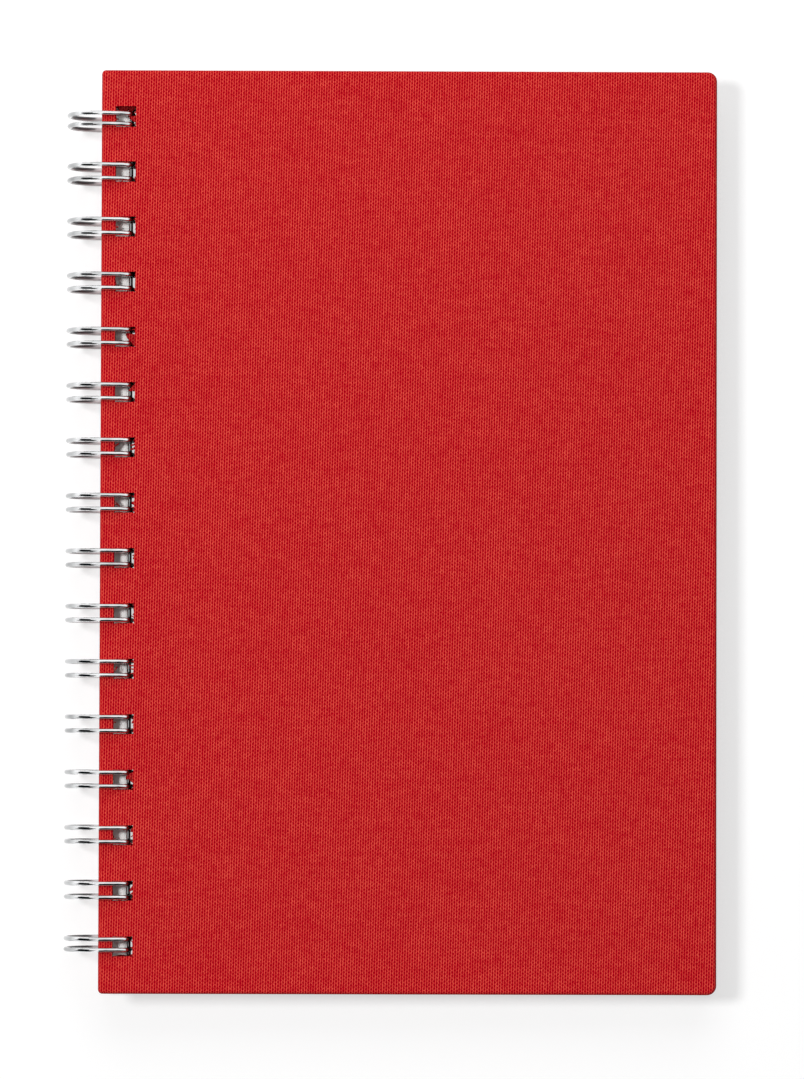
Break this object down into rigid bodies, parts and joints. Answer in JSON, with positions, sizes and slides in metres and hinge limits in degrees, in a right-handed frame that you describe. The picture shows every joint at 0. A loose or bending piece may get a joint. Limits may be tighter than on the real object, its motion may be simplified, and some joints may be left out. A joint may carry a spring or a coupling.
{
  "type": "spiral notebook",
  "caption": "Hard-cover notebook with cloth-wrapped boards and blank sheets, bound along one side by twin-loop wire on which both covers turn.",
  "frame": {"origin": "under the middle of the shut notebook, at the level of the wire's lowest point", "axes": "+X from the spine to the fore-edge, +Y along the spine to the head, +Z out of the front cover"},
  "size_m": [0.1498, 0.212, 0.0159],
  "materials": {
    "cloth": "plain-weave book cloth, matt",
    "board": "grey board",
    "endpaper": "matt",
    "sheets": "matt",
    "wire": "bright nickel-plated steel wire"
  },
  "bodies": {
    "block": {"pages": "sheets", "binding_wire": "wire"},
    "front_cover": {"front_cloth": "cloth", "front_board": "board", "front_endpaper": "endpaper"},
    "back_cover": {"back_cloth": "cloth", "back_board": "board", "back_endpaper": "endpaper"}
  },
  "joints": [
    {"name": "front_cover_hinge", "type": "hinge", "parent": "block", "child": "front_cover", "pos_m": [-0.0669, 0, 0.00796], "axis": [0, -1, 0], "range_deg": [0, 180]},
    {"name": "back_cover_hinge", "type": "hinge", "parent": "block", "child": "back_cover", "pos_m": [-0.0669, 0, 0.00796], "axis": [0, 1, 0], "range_deg": [0, 180]}
  ]
}
